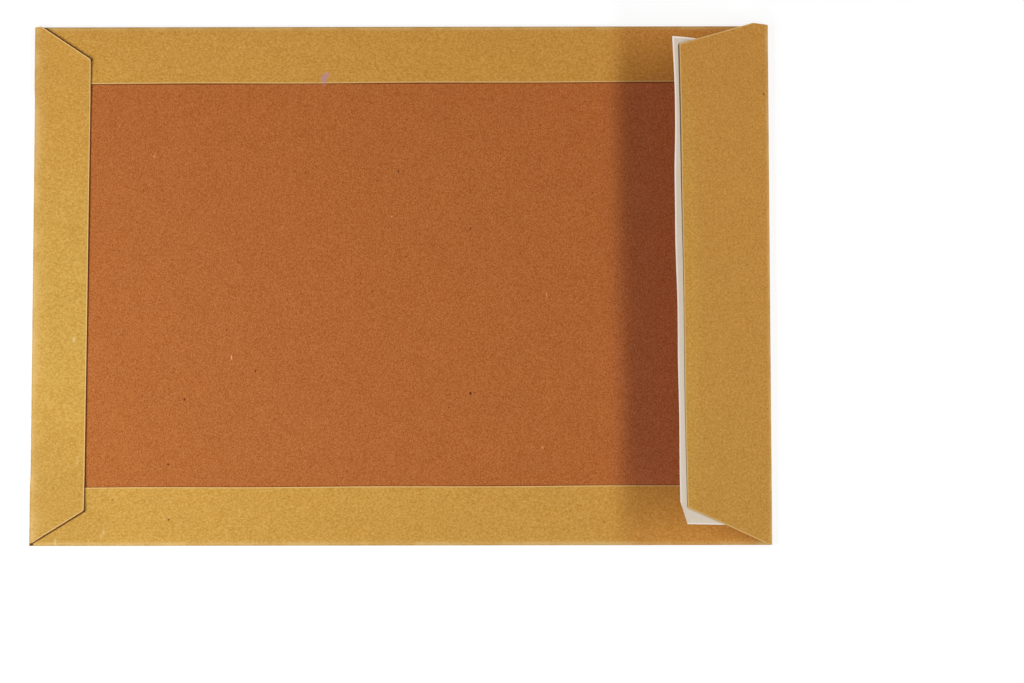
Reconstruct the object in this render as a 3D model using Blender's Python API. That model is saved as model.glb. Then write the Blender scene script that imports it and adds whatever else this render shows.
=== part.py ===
"""A board-backed envelope of C4 size, lying board side up with its sealing flap standing half open.

Blender 4.5, metres, +Z up. The origin is on the table, under the middle of the envelope. +X runs to the
mouth and the sealing flap, and +Y to the upper side. One sheet of manilla paper makes the front panel,
both side flaps, the end flap and the sealing flap. A place on a flap is given as (reach, y), where reach
is the distance from the crease along the paper.
"""

import math

import bmesh
import bpy
import numpy as np

MM = 0.001

# Outside size of the pocket, with the sealing flap left out.
LENGTH = 324 * MM
WIDTH = 229 * MM

# Thickness of each material, and the gaps between them.
PAPER = 0.16 * MM
BOARD = 0.90 * MM
LINER = 0.10 * MM
GUM = 0.14 * MM
HOT_MELT = 0.20 * MM
FACE_GAP = 0.08 * MM
POCKET_SLACK = 0.55 * MM

# Backing board: how far its edges stay inside the pocket's outer edges.
BOARD_END_INSET = 1.3 * MM
BOARD_SIDE_INSET = 1.4 * MM
BOARD_MOUTH_INSET = 2.6 * MM
BOARD_CORNER_RADIUS = 1.0 * MM

# Side flaps: depth at the closed end and at the mouth, and how their two ends are cut.
UPPER_SIDE_DEPTHS = (25.5 * MM, 24.9 * MM)
LOWER_SIDE_DEPTHS = (25.3 * MM, 26.1 * MM)
SIDE_END_TAPER = 1.5 * MM
SIDE_MOUTH_TAPER = 2.5 * MM

# Corners of the blank: the ear left on the panel, the slit beside it, and how short the flaps are cut.
CORNER_EAR = 0.6 * MM
CORNER_SLIT = 0.6 * MM
FLAP_END_SHORT = 0.25 * MM

# End flap, glued down over the side flaps and the board.
END_DEPTH_UPPER = 25.0 * MM
END_DEPTH_LOWER = 23.9 * MM
END_SHOULDER_UPPER = 2.0 * MM
END_SHOULDER_LOWER = 0.3 * MM
END_TIP_INSET_UPPER = 14.7 * MM
END_TIP_INSET_LOWER = 15.3 * MM
END_TIP_RADIUS = 2.2 * MM
END_STEP_INSET = 1.0 * MM
END_STEP_LENGTH = 5.0 * MM

# Sealing flap. It springs up from its fold, and its rise eases off towards the free edge.
FLAP_DEPTH_UPPER = 48.5 * MM
FLAP_DEPTH_LOWER = 45.8 * MM
FLAP_SHOULDER_UPPER = 8.0 * MM
FLAP_SHOULDER_LOWER = 3.0 * MM
FLAP_TIP_INSET_UPPER = 12.8 * MM
FLAP_TIP_INSET_LOWER = 15.3 * MM
FLAP_TIP_RADIUS = 1.5 * MM
FLAP_FOLD_RADIUS = 1.30 * MM
FLAP_RISE_AT_FOLD = math.radians(36)
FLAP_RISE_AT_EDGE = math.radians(29)

# Release liner, and the adhesive between it and the sealing flap.
LINER_WIDTH = 30 * MM
LINER_OVERHANG = 3.3 * MM
LINER_PAST_TIP_UPPER = 3.2 * MM
LINER_PAST_TIP_LOWER = 7.0 * MM
LINER_CUT_REACH = 3.4 * MM
LINER_CUT_LENGTH = 9.6 * MM
ADHESIVE_WIDTH = 18 * MM
ADHESIVE_SETBACK = 4 * MM
ADHESIVE_END_INSET = 6 * MM

# Glue lines of the flaps that are stuck down.
SIDE_GUM_WIDTH = 12 * MM
SIDE_GUM_EDGE_INSET = 4 * MM
SIDE_GUM_END_INSET = 6 * MM
END_GUM_WIDTH = 12 * MM
END_GUM_EDGE_INSET = 4 * MM
END_GUM_TIP_INSET = 6 * MM

# Fineness of bends and curves.
FOLD_STEPS = 12
FLAP_STEPS = 10
TIP_STEPS = 5
LEVEL_STEPS = 6
WELD_DISTANCE = 0.001 * MM

# Middle height of each sheet, from the table up.
GLUE_SPACE = GUM + 2 * FACE_GAP
FRONT_LEVEL = PAPER / 2
BOARD_BOTTOM = PAPER + POCKET_SLACK
BOARD_TOP = BOARD_BOTTOM + BOARD
SIDE_LEVEL = BOARD_TOP + GLUE_SPACE + PAPER / 2
END_LEVEL = SIDE_LEVEL + PAPER + GLUE_SPACE

# Fold radii, and the lines where the flat front panel ends.
SIDE_FOLD_RADIUS = (SIDE_LEVEL - FRONT_LEVEL) / 2
END_FOLD_RADIUS = (END_LEVEL - FRONT_LEVEL) / 2
PANEL_SIDE_Y = WIDTH / 2 - SIDE_FOLD_RADIUS - PAPER / 2
PANEL_END_X = -LENGTH / 2 + END_FOLD_RADIUS + PAPER / 2
PANEL_MOUTH_X = LENGTH / 2 - FLAP_FOLD_RADIUS - PAPER / 2
FLAP_END_Y = WIDTH / 2 - FLAP_END_SHORT
SIDE_START_X = PANEL_END_X + CORNER_EAR + CORNER_SLIT
SIDE_STOP_X = PANEL_MOUTH_X - CORNER_EAR - CORNER_SLIT

# The sealing flap's bent stretch ends at this reach, and its tips lie at these places.
FLAP_BEND_REACH = FLAP_FOLD_RADIUS * (math.pi / 2 - FLAP_RISE_AT_FOLD)
FLAP_TIP_UPPER = (FLAP_DEPTH_UPPER, WIDTH / 2 - FLAP_TIP_INSET_UPPER)
FLAP_TIP_LOWER = (FLAP_DEPTH_LOWER, -WIDTH / 2 + FLAP_TIP_INSET_LOWER)
FLAP_CURVATURE = (FLAP_RISE_AT_EDGE - FLAP_RISE_AT_FOLD) / (FLAP_DEPTH_UPPER - FLAP_BEND_REACH)

# Colours as linear light.
MANILLA_COLOUR = (0.52, 0.26, 0.055, 1.0)
CHIPBOARD_COLOUR = (0.43, 0.13, 0.035, 1.0)
LINER_COLOUR = (0.75, 0.68, 0.55, 1.0)
GUM_COLOUR = (0.62, 0.50, 0.30, 1.0)
HOT_MELT_COLOUR = (0.80, 0.72, 0.50, 1.0)


def clear_scene():
    for thing in list(bpy.data.objects):
        bpy.data.objects.remove(thing)


def make_material(name, colour, roughness):
    made = bpy.data.materials.new(name)
    made.use_nodes = True
    surface = made.node_tree.nodes["Principled BSDF"]
    surface.inputs["Base Color"].default_value = colour
    surface.inputs["Roughness"].default_value = roughness
    surface.inputs["Metallic"].default_value = 0.0
    return made


def add_sheet(name, shell, thickness, finish):
    """Makes an object from an open surface and thickens it, half to each side."""
    bmesh.ops.remove_doubles(shell, verts=shell.verts, dist=WELD_DISTANCE)
    bmesh.ops.recalc_face_normals(shell, faces=shell.faces)
    mesh = bpy.data.meshes.new(name)
    shell.to_mesh(mesh)
    shell.free()
    mesh.materials.append(finish)
    made = bpy.data.objects.new(name, mesh)
    bpy.context.scene.collection.objects.link(made)
    wall = made.modifiers.new("thickness", "SOLIDIFY")
    wall.thickness = thickness
    wall.offset = 0.0
    wall.use_even_offset = True
    return made


def add_face(shell, places):
    shell.faces.new([shell.verts.new(place) for place in places])


def add_grid(shell, rows):
    """Adds a quad between each pair of neighbours in a row and the two below them."""
    made = [[shell.verts.new(place) for place in row] for row in rows]
    for near, far in zip(made, made[1:]):
        for i in range(len(near) - 1):
            shell.faces.new((near[i], near[i + 1], far[i + 1], far[i]))


def between(start, stop, share):
    """The place at a share of the way from one place to another."""
    return tuple(a + (b - a) * share for a, b in zip(start, stop))


def steps(start, stop, count):
    return [start + (stop - start) * k / count for k in range(count + 1)]


def round_corner(before, corner, after, radius, count):
    """Points of the arc that rounds a corner in the plane, from the side of before to that of after."""
    before, corner, after = (np.array(place) for place in (before, corner, after))
    back = (before - corner) / np.linalg.norm(before - corner)
    ahead = (after - corner) / np.linalg.norm(after - corner)
    half = math.acos(back @ ahead) / 2
    middle = (back + ahead) / np.linalg.norm(back + ahead)
    centre = corner + middle * radius / math.sin(half)
    first = corner + back * radius / math.tan(half) - centre
    last = corner + ahead * radius / math.tan(half) - centre
    turn = math.pi - 2 * half
    arc = []
    for angle in steps(0, turn, count):
        spoke = (first * math.sin(turn - angle) + last * math.sin(angle)) / math.sin(turn)
        arc.append(tuple(centre + spoke))
    return arc


def slanted_end(start, tip, far_tip, radius, count):
    """Points of a flap's slanted end, from where the slant starts to the free edge past the round tip."""
    arc = round_corner(start, tip, far_tip, radius, TIP_STEPS)
    return [between(start, arc[0], k / count) for k in range(count)] + arc


def fold_height(radius, turn):
    """Height of a paper fold that rises from the front panel, at an angle round it."""
    return FRONT_LEVEL + radius * (1 - math.cos(turn))


def side_flap_rows(side, depths):
    """Rows of one side flap, from the panel round the fold and in over the board."""
    rows = []
    for turn in steps(0, math.pi, FOLD_STEPS):
        y = side * (PANEL_SIDE_Y + SIDE_FOLD_RADIUS * math.sin(turn))
        z = fold_height(SIDE_FOLD_RADIUS, turn)
        rows.append([(SIDE_START_X, y, z), (SIDE_STOP_X, y, z)])
    rows.append([(SIDE_START_X + SIDE_END_TAPER, side * (WIDTH / 2 - depths[0]), SIDE_LEVEL),
                 (SIDE_STOP_X - SIDE_MOUTH_TAPER, side * (WIDTH / 2 - depths[1]), SIDE_LEVEL)])
    return rows


def end_step(y):
    """Outer and inner y of the slope where the end flap drops from a side flap to the board."""
    depth = UPPER_SIDE_DEPTHS[0] if y > 0 else LOWER_SIDE_DEPTHS[0]
    outer = WIDTH / 2 - depth - END_STEP_INSET
    return outer, outer - END_STEP_LENGTH


def end_flap_level(y):
    """Height of the end flap: on the side flaps near its ends, and on the board between them."""
    outer, inner = end_step(y)
    share = min(max((abs(y) - inner) / (outer - inner), 0.0), 1.0)
    return SIDE_LEVEL + (END_LEVEL - SIDE_LEVEL) * share * share * (3 - 2 * share)


def end_flap_lines():
    """The y of each line across the end flap, from one slope to the other."""
    lower = [-y for y in steps(*end_step(-1), LEVEL_STEPS)]
    upper = [y for y in steps(*end_step(1), LEVEL_STEPS)]
    return lower + upper[::-1]


def end_flap_fold_row(turn):
    """One row of the end flap's fold, which is tighter where the flap lies lower."""
    row = []
    for y in [-FLAP_END_Y] + end_flap_lines() + [FLAP_END_Y]:
        radius = (end_flap_level(y) - FRONT_LEVEL) / 2
        row.append((PANEL_END_X - radius * math.sin(turn), y, fold_height(radius, turn)))
    return row


def end_flap_flat_row(lower, upper, drop=0.0):
    """One row across the flat of the end flap, between a place on each of its ends."""
    row = []
    for y in [lower[1]] + end_flap_lines() + [upper[1]]:
        x, y = between(lower, upper, (y - lower[1]) / (upper[1] - lower[1]))
        row.append((x, y, end_flap_level(y) - drop))
    return row


def end_flap_tips():
    lower = (-LENGTH / 2 + END_DEPTH_LOWER, -WIDTH / 2 + END_TIP_INSET_LOWER)
    upper = (-LENGTH / 2 + END_DEPTH_UPPER, WIDTH / 2 - END_TIP_INSET_UPPER)
    return lower, upper


def end_flap_rows():
    """Rows of the end flap, from the panel round the fold and in to its free edge."""
    lower_tip, upper_tip = end_flap_tips()
    lower_start = (PANEL_END_X + END_SHOULDER_LOWER, -FLAP_END_Y)
    upper_start = (PANEL_END_X + END_SHOULDER_UPPER, FLAP_END_Y)
    lower = slanted_end(lower_start, lower_tip, upper_tip, END_TIP_RADIUS, 1)
    upper = slanted_end(upper_start, upper_tip, lower_tip, END_TIP_RADIUS, 1)
    fold = [end_flap_fold_row(turn) for turn in steps(0, math.pi, FOLD_STEPS)]
    return fold + [end_flap_flat_row(low, high) for low, high in zip(lower, upper)]


def flap_place(reach, y, drop=0.0):
    """The point of the sealing flap at a reach from its crease, or the point a drop inside it."""
    if reach <= FLAP_BEND_REACH:
        turn = math.pi / 2 + reach / FLAP_FOLD_RADIUS
        x = PANEL_MOUTH_X + FLAP_FOLD_RADIUS * math.sin(turn)
        return (x, y, fold_height(FLAP_FOLD_RADIUS, turn))
    rise = FLAP_RISE_AT_FOLD + FLAP_CURVATURE * (reach - FLAP_BEND_REACH)
    start_x = PANEL_MOUTH_X + FLAP_FOLD_RADIUS * math.sin(FLAP_RISE_AT_FOLD)
    start_z = fold_height(FLAP_FOLD_RADIUS, math.pi - FLAP_RISE_AT_FOLD)
    x = start_x - (math.sin(rise) - math.sin(FLAP_RISE_AT_FOLD)) / FLAP_CURVATURE
    z = start_z - (math.cos(rise) - math.cos(FLAP_RISE_AT_FOLD)) / FLAP_CURVATURE
    return (x - drop * math.sin(rise), y, z - drop * math.cos(rise))


def flap_edge_reach(y):
    """Reach of the sealing flap's free edge at a given y. The edge is cut a little out of square."""
    share = (y - FLAP_TIP_LOWER[1]) / (FLAP_TIP_UPPER[1] - FLAP_TIP_LOWER[1])
    return FLAP_DEPTH_LOWER + (FLAP_DEPTH_UPPER - FLAP_DEPTH_LOWER) * share


def sealing_flap_rows():
    """Rows of the sealing flap, from the panel round the fold and up to its free edge."""
    panel_reach = -FLAP_FOLD_RADIUS * math.pi / 2
    fold = [(reach, reach) for reach in steps(panel_reach, 0, FOLD_STEPS // 2)]
    fold += [(reach, reach) for reach in steps(0, FLAP_BEND_REACH, FOLD_STEPS // 2)[1:]]
    lower = [(reach, -FLAP_END_Y) for reach, _ in fold]
    upper = [(reach, FLAP_END_Y) for _, reach in fold]
    lower += slanted_end((FLAP_BEND_REACH + FLAP_SHOULDER_LOWER, -FLAP_END_Y), FLAP_TIP_LOWER,
                         FLAP_TIP_UPPER, FLAP_TIP_RADIUS, FLAP_STEPS)
    upper += slanted_end((FLAP_BEND_REACH + FLAP_SHOULDER_UPPER, FLAP_END_Y), FLAP_TIP_UPPER,
                         FLAP_TIP_LOWER, FLAP_TIP_RADIUS, FLAP_STEPS)
    return [[flap_place(*low), flap_place(*high)] for low, high in zip(lower, upper)]


def panel_outline():
    """Outline of the flat front panel, with an ear at each corner and the flaps' own points."""
    half = [(PANEL_END_X, FLAP_END_Y), (PANEL_END_X + CORNER_EAR, FLAP_END_Y),
            (PANEL_END_X + CORNER_EAR, PANEL_SIDE_Y), (SIDE_START_X, PANEL_SIDE_Y),
            (SIDE_STOP_X, PANEL_SIDE_Y), (PANEL_MOUTH_X - CORNER_EAR, PANEL_SIDE_Y),
            (PANEL_MOUTH_X - CORNER_EAR, FLAP_END_Y), (PANEL_MOUTH_X, FLAP_END_Y)]
    other_half = [(x, -y) for x, y in half[::-1]]
    end_line = [(PANEL_END_X, y) for y in end_flap_lines()]
    return [(x, y, FRONT_LEVEL) for x, y in half + other_half + end_line]


def make_wrapper(paper):
    """The folded sheet: front panel, two side flaps, end flap and sealing flap."""
    shell = bmesh.new()
    add_face(shell, panel_outline())
    add_grid(shell, side_flap_rows(1, UPPER_SIDE_DEPTHS))
    add_grid(shell, side_flap_rows(-1, LOWER_SIDE_DEPTHS))
    add_grid(shell, end_flap_rows())
    add_grid(shell, sealing_flap_rows())
    return add_sheet("paper_wrapper", shell, PAPER, paper)


def make_board(chipboard):
    """The stiff board that closes the back, under the side and end flaps."""
    x_low = -LENGTH / 2 + BOARD_END_INSET
    x_high = LENGTH / 2 - BOARD_MOUTH_INSET
    y_high = WIDTH / 2 - BOARD_SIDE_INSET
    corners = [(x_low, -y_high), (x_high, -y_high), (x_high, y_high), (x_low, y_high)]
    outline = []
    for k, corner in enumerate(corners):
        outline += round_corner(corners[k - 1], corner, corners[(k + 1) % len(corners)],
                                BOARD_CORNER_RADIUS, TIP_STEPS)
    shell = bmesh.new()
    add_face(shell, [(x, y, BOARD_BOTTOM + BOARD / 2) for x, y in outline])
    return add_sheet("backing_board", shell, BOARD, chipboard)


def make_side_gum(name, side, depths, gum):
    """The glue line between one side flap and the board, in line with the flap's free edge."""
    x_low = SIDE_START_X + SIDE_END_TAPER + SIDE_GUM_END_INSET
    x_high = SIDE_STOP_X - SIDE_MOUTH_TAPER - SIDE_GUM_END_INSET
    level = BOARD_TOP + FACE_GAP + GUM / 2
    edge_low = WIDTH / 2 - depths[0] + SIDE_GUM_EDGE_INSET
    edge_high = WIDTH / 2 - depths[1] + SIDE_GUM_EDGE_INSET
    shell = bmesh.new()
    add_face(shell, [(x_low, side * edge_low, level), (x_high, side * edge_high, level),
                     (x_high, side * (edge_high + SIDE_GUM_WIDTH), level),
                     (x_low, side * (edge_low + SIDE_GUM_WIDTH), level)])
    return add_sheet(name, shell, GUM, gum)


def make_end_gum(gum):
    """The glue line under the end flap, which follows its slopes down from the side flaps."""
    lower_tip, upper_tip = end_flap_tips()
    drop = PAPER / 2 + FACE_GAP + GUM / 2
    rows = []
    for inset in (END_GUM_EDGE_INSET + END_GUM_WIDTH, END_GUM_EDGE_INSET):
        lower = (lower_tip[0] - inset, lower_tip[1] + END_GUM_TIP_INSET)
        upper = (upper_tip[0] - inset, upper_tip[1] - END_GUM_TIP_INSET)
        rows.append(end_flap_flat_row(lower, upper, drop))
    shell = bmesh.new()
    add_grid(shell, rows)
    return add_sheet("end_flap_gum", shell, GUM, gum)


def flap_strip_rows(edge_shift, width, y_low, y_high, drop):
    """Rows of a strip along the inside of the sealing flap, up to a line beside its free edge."""
    rows = []
    for back in steps(width, 0, FLAP_STEPS):
        row = [flap_place(flap_edge_reach(y) + edge_shift - back, y, drop) for y in (y_low, y_high)]
        rows.append(row)
    return rows


def make_adhesive(hot_melt):
    """The band of adhesive on the inside of the sealing flap."""
    drop = PAPER / 2 + FACE_GAP + HOT_MELT / 2
    y_low = FLAP_TIP_LOWER[1] + ADHESIVE_END_INSET
    y_high = FLAP_TIP_UPPER[1] - ADHESIVE_END_INSET
    shell = bmesh.new()
    add_grid(shell, flap_strip_rows(-ADHESIVE_SETBACK, ADHESIVE_WIDTH, y_low, y_high, drop))
    return add_sheet("adhesive_strip", shell, HOT_MELT, hot_melt)


def make_liner(liner_paper):
    """The release liner over the adhesive, with its lower outer corner cut off."""
    drop = PAPER / 2 + FACE_GAP + HOT_MELT + FACE_GAP + LINER / 2
    y_low = FLAP_TIP_LOWER[1] - LINER_PAST_TIP_LOWER
    y_high = FLAP_TIP_UPPER[1] + LINER_PAST_TIP_UPPER
    full_width = LINER_WIDTH - LINER_CUT_REACH
    rows = flap_strip_rows(LINER_OVERHANG - LINER_CUT_REACH, full_width, y_low, y_high, drop)
    last_row = []
    for y in (y_low + LINER_CUT_LENGTH, y_high):
        last_row.append(flap_place(flap_edge_reach(y) + LINER_OVERHANG, y, drop))
    rows.append(last_row)
    shell = bmesh.new()
    add_grid(shell, rows)
    return add_sheet("release_liner", shell, LINER, liner_paper)


def main():
    clear_scene()
    gum = make_material("dry_gum", GUM_COLOUR, 0.6)
    make_wrapper(make_material("manilla_paper", MANILLA_COLOUR, 0.7))
    make_board(make_material("chipboard", CHIPBOARD_COLOUR, 0.85))
    make_side_gum("upper_side_gum", 1, UPPER_SIDE_DEPTHS, gum)
    make_side_gum("lower_side_gum", -1, LOWER_SIDE_DEPTHS, gum)
    make_end_gum(gum)
    make_adhesive(make_material("hot_melt", HOT_MELT_COLOUR, 0.3))
    make_liner(make_material("liner_paper", LINER_COLOUR, 0.4))


main()
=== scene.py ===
"""The looks of a board-backed envelope: its folded paper, board, adhesive and release liner, and the stage.

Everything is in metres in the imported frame: +X runs to the mouth, +Y to the upper side and +Z up. A place
on a flap is given as (reach, y), where reach is the distance from the crease along the paper. In a grid of
points the first index follows the sheet from the end flap to the sealing flap, and the second from the
lower side to the upper. Colours are linear light.
"""

import math

import bpy
import numpy as np
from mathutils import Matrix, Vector


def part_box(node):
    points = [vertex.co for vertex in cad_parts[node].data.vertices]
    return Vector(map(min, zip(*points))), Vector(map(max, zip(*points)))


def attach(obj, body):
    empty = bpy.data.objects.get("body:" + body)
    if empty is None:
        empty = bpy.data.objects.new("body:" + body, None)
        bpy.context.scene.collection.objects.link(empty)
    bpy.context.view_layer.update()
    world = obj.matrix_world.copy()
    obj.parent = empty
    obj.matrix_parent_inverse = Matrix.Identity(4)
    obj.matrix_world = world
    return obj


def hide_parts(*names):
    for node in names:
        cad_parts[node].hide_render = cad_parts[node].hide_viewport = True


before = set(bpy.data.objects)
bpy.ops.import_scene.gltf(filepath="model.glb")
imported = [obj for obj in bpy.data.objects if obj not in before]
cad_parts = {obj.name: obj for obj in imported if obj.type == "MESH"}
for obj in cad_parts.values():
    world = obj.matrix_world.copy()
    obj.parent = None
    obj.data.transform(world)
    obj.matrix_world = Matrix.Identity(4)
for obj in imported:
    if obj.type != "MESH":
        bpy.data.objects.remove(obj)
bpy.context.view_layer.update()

bl_info = {
    "name": "Board-backed envelope",
    "version": (1, 0, 0),
    "blender": (4, 5, 0),
    "location": "View3D > Sidebar > Envelope",
    "description": "Builds the paper, board, adhesive and liner of a board-backed envelope",
    "category": "Add Mesh",
}

MM = 0.001

# The solids' boxes give the pocket, the board and the height of the glue lines.
_, WRAPPER_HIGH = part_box("paper_wrapper")
_, BOARD_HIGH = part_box("backing_board")
GUM_LOW, GUM_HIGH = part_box("upper_side_gum")
HALF_LENGTH = WRAPPER_HIGH.x
HALF_WIDTH = WRAPPER_HIGH.y
GLUE_SPACE = GUM_LOW.z + GUM_HIGH.z - 2 * BOARD_HIGH.z

# The blank's corners, and the layers on the sealing flap.
CORNER_EAR = 0.6 * MM
CORNER_SLIT = 0.15 * MM
FLAP_END_SHORT = 0.05 * MM
SIDE_END_TAPER = 1.5 * MM
SIDE_MOUTH_TAPER = 2.5 * MM
FLAP_FOLD_RADIUS = 1.3 * MM
TIP_RADIUS = 1.0 * MM
FACE_GAP = 0.08 * MM
HOT_MELT = 0.2 * MM
LINER = 0.1 * MM
ADHESIVE_SETBACK = 4 * MM
ADHESIVE_END_INSET = 6 * MM

# Folds: the paper beside a fold sags, and a crease's wear fades out over its reach.
FOLD_SAG = 0.2 * MM
SAG_REACH = 1.5 * MM
CREASE_REACH = 0.5 * MM
END_CREASE_REACH = 1.8 * MM

# Lift and waves of the flaps. A wave is its height, its radians per metre and its phase.
SIDE_EDGE_LIFT = 0.14 * MM
SIDE_EDGE_REACH = 2 * MM
SIDE_WAVES = ((0.07 * MM, 83, 2.0), (0.07 * MM, 37, 0.0))
SIDE_WANDER = ((0.1 * MM, 61, 1.0),)
END_STEP_INSET = 0.6 * MM
END_STEP_LENGTH = 6 * MM
END_SLIP_SHARE = 0.85
END_CUT_REACH = 4 * MM
END_EDGE_LIFT = 0.5 * MM
END_EDGE_WAVES = ((0.1 * MM, 70, 0.0),)
END_EDGE_REACH = 3 * MM
LIFT_START = 4 * MM
FLAP_WAVES = ((0.65, 31, 0.6), (0.35, 74, 2.1))

# The liner's loose part, and the adhesive's long edges and rim. Y spans are where a change happens.
LINER_WANDER = ((0.22 * MM, 52, 1.0), (0.12 * MM, 131, 0.0))
LINER_SHORTER = 0.8 * MM
LINER_SHORTER_Y = (0.04, 0.066)
LINER_CURL = (-0.2 * MM, 1.1 * MM)
LINER_CURL_Y = (-0.02, 0.1)
CURL_POWER = 1.5
ADHESIVE_WANDER = ((0.35 * MM, 160, 0.0), (0.35 * MM, 67, 1.0))
ADHESIVE_RIM_POWER = 6
ADHESIVE_THINNEST = 0.02

# Fineness of the surfaces, and how strongly lines are drawn together.
LENGTH_LINES = 120
WIDTH_LINES = 90
FOLD_LINES = 14
FLAP_FOLD_LINES = 18
SHOULDER_LINES = 5
FLAT_LINES = 24
ADHESIVE_LINES = 48
SLANT_LINES = 22
TIP_LINES = 8
END_CLOSENESS = 0.8
EDGE_POWER = 1.7
SLANT_POWER = 1.6
WELD = 0.0005 * MM
FAR_FROM_CUT = 5 * MM

# Looks: the bend of fibres, the rim of a spot or line as shares of its size, how a drift of painted light
# scales red, green and blue, and the painted shade beside cuts.
FIBRE_BEND = 0.0022
SOFT_RIM = (0.4, 1.0)
DRIFT_SCALES = (0, 1, 1.4)
EDGE_SHADE = (0.13, 0.028, 0.0)
EDGE_SHADE_FADE = 0.1 * MM

# Marks of wear and of painted shade: x, y, radius along x and along y, in millimetres, then the colour and
# its share.
DARK = (0.12, 0.05, 0.01)
PALE = (0.75, 0.55, 0.25)
VIOLET = (0.5, 0.25, 0.28)
DOT = (0.1, 0.014, 0.0)
THREAD = (0.8, 0.4, 0.18)
MARKS_ON_PAPER = (
    (-34.1, 91.2, 1.8, 2.7, VIOLET, 0.85),
    (-32.6, 93.1, 2.0, 1.5, VIOLET, 0.5),
    (-101.2, -103.1, 0.7, 0.7, DARK, 0.85),
    (-143.4, -24.2, 0.8, 1.9, PALE, 0.6),
    (-141.2, -78.0, 0.9, 3.5, PALE, 0.2),
    (-150.6, -113.1, 0.7, 2.6, PALE, 0.5),
    (-129.5, -108.5, 0.7, 1.8, PALE, 0.42),
    (-130.6, -110.4, 0.8, 1.5, PALE, 0.38),
    (-136.0, -112.8, 0.6, 1.2, PALE, 0.3))
# Painted shade: a dark spot in the gap where the end flap's lower cut meets the fold.
PAINTED_SHADE_AT_CORNER = ((-161.4, -113.9, 1.2, 1.1, DARK, 0.8),)
MARKS_ON_FLAP_FOLD = ((159.8, 83.7, 0.6, 0.8, DARK, 0.7),)
MARKS_ON_BOARD = (
    (30.5, -48.1, 0.7, 1.0, DOT, 0.95),
    (-94.7, -50.6, 0.65, 0.9, DOT, 0.85),
    (-101.5, -79.0, 0.8, 0.65, DOT, 0.8),
    (-1.2, 49.9, 0.6, 0.9, DOT, 0.75),
    (-63.7, -38.3, 0.6, 0.85, DOT, 0.7),
    (-12.5, -3.2, 0.6, 0.6, DOT, 0.7),
    (30.5, 24.6, 0.55, 0.85, DOT, 0.7),
    (114.8, 1.9, 0.55, 1.1, DOT, 0.4),
    (-74.2, -32.2, 0.45, 1.4, THREAD, 0.85),
    (-4.2, 29.9, 0.55, 0.6, THREAD, 0.5),
    (62.0, -71.9, 0.5, 0.9, THREAD, 0.55),
    (63.9, -4.7, 0.5, 1.6, THREAD, 0.4),
    (-108.7, 56.8, 0.8, 0.8, THREAD, 0.4),
    (-34.0, 89.1, 1.4, 1.6, VIOLET, 0.35))
MARK_DEPTH = 0.9 * MM
FOLD_MARK_DEPTH = 2.5 * MM
FLAP_FOLD_MARK_Z = 4 * MM

# The table, just under the paper. It is shown darker than it is, with a glow, to keep its shadow.
TABLE_Z = -0.3 * MM
TABLE_HALF = 3.0
TABLE_GREY = 0.8
TABLE_SHADOW_GREY = 0.3
TABLE_GLOW = 0.76

# What a setting is unless it says otherwise.
LENGTH = {"unit": "LENGTH"}


def single(name, description, value, **kind):
    """A setting of one number."""
    return bpy.props.FloatProperty(name=name, description=description, default=value, **(kind or LENGTH))


def several(name, description, *values, **kind):
    """A setting of several numbers."""
    return bpy.props.FloatVectorProperty(
        name=name, description=description, size=len(values), default=values, **(kind or LENGTH))


def tint(name, description, *values):
    return several(name, description, *values, subtype="COLOR", min=0.0, max=1.0)


class EnvelopeSizes(bpy.types.PropertyGroup):
    """Sizes of the paper, its flaps and the liner. Pairs are for the lower and the upper side."""

    paper: single("Paper", "Thickness of the manilla paper", 0.16 * MM)
    lower_side: several("Lower side flap", "Depth at the closed end and at the mouth", 25.3 * MM, 26.1 * MM)
    upper_side: several("Upper side flap", "Depth at the closed end and at the mouth", 25.5 * MM, 24.9 * MM)
    end_depth: several("End flap", "Depth at its lower and upper end", 23.9 * MM, 25.0 * MM)
    end_shoulder: several(
        "End flap shoulders", "Straight stretch before each slanted cut", 0.3 * MM, 2.0 * MM)
    end_tip_inset: several(
        "End flap tips", "How far each tip lies inside the pocket's side", 15.3 * MM, 14.7 * MM)
    end_slip: several(
        "End flap slip", "How far each end has moved in where its slanted cut starts", 1.4 * MM, 0.0)
    end_lift: several("End flap lift", "How far each slanted cut stands up", 1.0 * MM, 0.9 * MM)
    flap_depth: several("Sealing flap", "Depth at its lower and upper end", 45.8 * MM, 48.5 * MM)
    flap_shoulder: several(
        "Sealing flap shoulders", "Straight stretch before each slanted cut", 1.0 * MM, 8.0 * MM)
    flap_tip_inset: several(
        "Sealing flap tips", "How far each tip lies inside the pocket's side", 15.3 * MM, 12.8 * MM)
    flap_stand_out: several(
        "Sealing flap stand-out", "How far each shoulder stands out past the fold's end", 0.0, 0.45 * MM)
    flap_rise: several(
        "Sealing flap rise", "Angle above the board at the fold and at the free edge",
        math.radians(36), math.radians(29), subtype="EULER")
    flap_wave: single("Sealing flap waviness", "Height of the waves along the free edge", 0.45 * MM)
    flap_bow: single("Sealing flap bow", "How far the free edge's ends stand above its middle", 2.2 * MM)
    liner_width: single("Liner width", "Width of the release liner", 30 * MM)
    liner_overhang: single("Liner overhang", "How far the liner stands past the flap's free edge", 3.3 * MM)
    liner_past_tip: several(
        "Liner ends", "How far the liner runs past each tip of the flap", 7.0 * MM, 3.2 * MM)
    liner_cut: several(
        "Liner corner cut", "Reach and length of the cut at its lower outer corner", 3.4 * MM, 9.6 * MM)
    adhesive_width: single("Adhesive width", "Width of the adhesive band", 18 * MM)


class EnvelopeColours(bpy.types.PropertyGroup):
    """Colours of the materials, as linear light."""

    manilla: tint("Manilla", "Colour of the paper", 0.565, 0.286, 0.048)
    chipboard: tint("Chipboard", "Colour of the board", 0.435, 0.131, 0.03)
    liner: tint("Liner", "Colour of the release liner", 0.745, 0.645, 0.52)
    adhesive: tint("Adhesive", "Colour of the hot melt adhesive", 0.8, 0.7, 0.45)
    gum: tint("Gum", "Colour of the dry gum", 0.62, 0.5, 0.3)


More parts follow.
